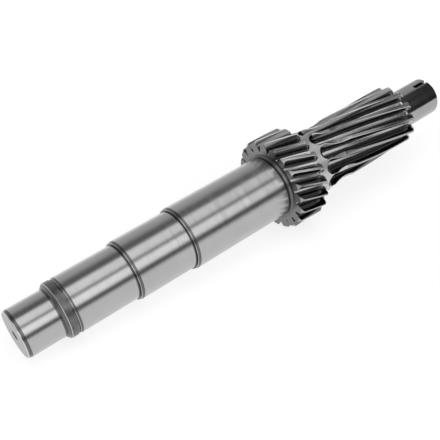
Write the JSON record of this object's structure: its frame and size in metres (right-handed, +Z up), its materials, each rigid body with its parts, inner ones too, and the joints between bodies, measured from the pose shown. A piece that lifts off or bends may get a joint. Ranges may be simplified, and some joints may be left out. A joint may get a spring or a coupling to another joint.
{
  "type": "drive shaft",
  "caption": "Stepped steel gearbox shaft with bearing journals, plain ground gear seats, an integral helical gear and a long helical pinion.",
  "frame": {"origin": "centre of the footprint, on the surface that the shaft lies on", "axes": "+X runs from the small front end towards the rear end with the pinion; +Z is up as the shaft lies at rest on its collar and two gear teeth"},
  "size_m": [0.5066, 0.0936, 0.0954],
  "materials": {
    "ground_steel": "ground bright on the journals and seats, dark and matt on the turned steps, dark hobbed tooth flanks"
  },
  "bodies": {
    "root": {"drive_shaft": "ground_steel"}
  },
  "joints": []
}
